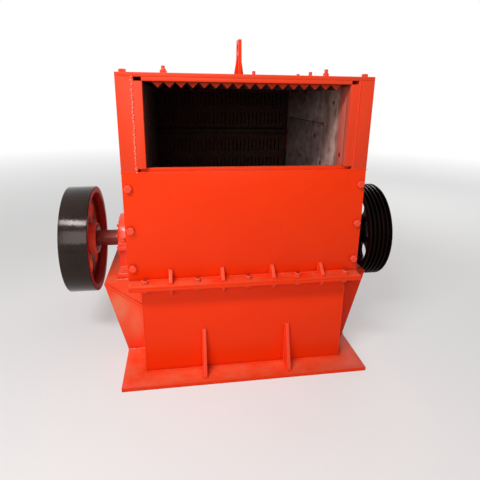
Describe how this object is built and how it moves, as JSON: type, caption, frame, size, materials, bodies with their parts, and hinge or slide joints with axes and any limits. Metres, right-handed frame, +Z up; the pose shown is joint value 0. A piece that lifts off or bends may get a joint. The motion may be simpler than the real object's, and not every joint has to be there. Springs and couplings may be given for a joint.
{
  "type": "box-type hammer crusher",
  "caption": "Box-type hammer crusher: welded split housing with a wide feed mouth, toothed and slotted liners, hammer rotor, flywheel and belt sheave.",
  "frame": {"origin": "centre of the discharge opening, in the underside of the base flange", "axes": "+Z up, the feed mouth faces -Y, +X along the rotor shaft towards the belt sheave"},
  "size_m": [2.231, 1.74, 2.026],
  "materials": {
    "paint": "gloss orange-red machine paint over plate with weld beads",
    "wear_metal": "bare cast manganese steel, brown-grey with a film of rust",
    "machined_black": "turned rim, oiled glossy black, webs and hubs painted dark red",
    "wheel_paint": "dark red paint on the flywheel's hub and web",
    "shaft_steel": "turned steel with a brown primer film"
  },
  "bodies": {
    "housing": {"base_flange": "paint", "base_gussets": "paint", "lower_front_wall": "paint", "lower_back_wall": "paint", "lower_left_wall": "paint", "lower_right_wall": "paint", "lower_split_flange": "paint", "upper_split_flange": "paint", "split_gussets": "paint", "front_panel": "paint", "front_liner": "paint", "left_jamb": "paint", "right_jamb": "paint", "corner_flanges": "paint", "upper_left_wall": "paint", "upper_right_wall": "paint", "upper_back_wall": "paint", "side_ribs": "paint", "top_cover": "paint", "lintel_bar": "paint", "ceiling_liners": "wear_metal", "left_liners": "wear_metal", "right_liners": "wear_metal", "liner_frame": "paint", "top_back_liner": "wear_metal", "middle_back_liner": "wear_metal", "bottom_back_liner": "wear_metal", "liner_ledge": "wear_metal", "left_bracket": "paint", "right_bracket": "paint", "left_housing": "paint", "right_housing": "paint", "left_cap": "paint", "right_cap": "paint", "lifting_lug": "paint", "lug_gussets": "paint"},
    "rotor": {"shaft": "shaft_steel", "wheel_keys": "shaft_steel", "flywheel_rim": "machined_black", "flywheel_web": "wheel_paint", "sheave_rim": "machined_black", "sheave_web": "machined_black", "rotor_discs": "shaft_steel", "hammer_pins": "shaft_steel", "hammers": "wear_metal"}
  },
  "joints": [
    {"name": "rotor_spin", "type": "hinge", "parent": "housing", "child": "rotor", "pos_m": [0, -0.13, 0.716], "axis": [1, 0, 0], "continuous": true}
  ]
}
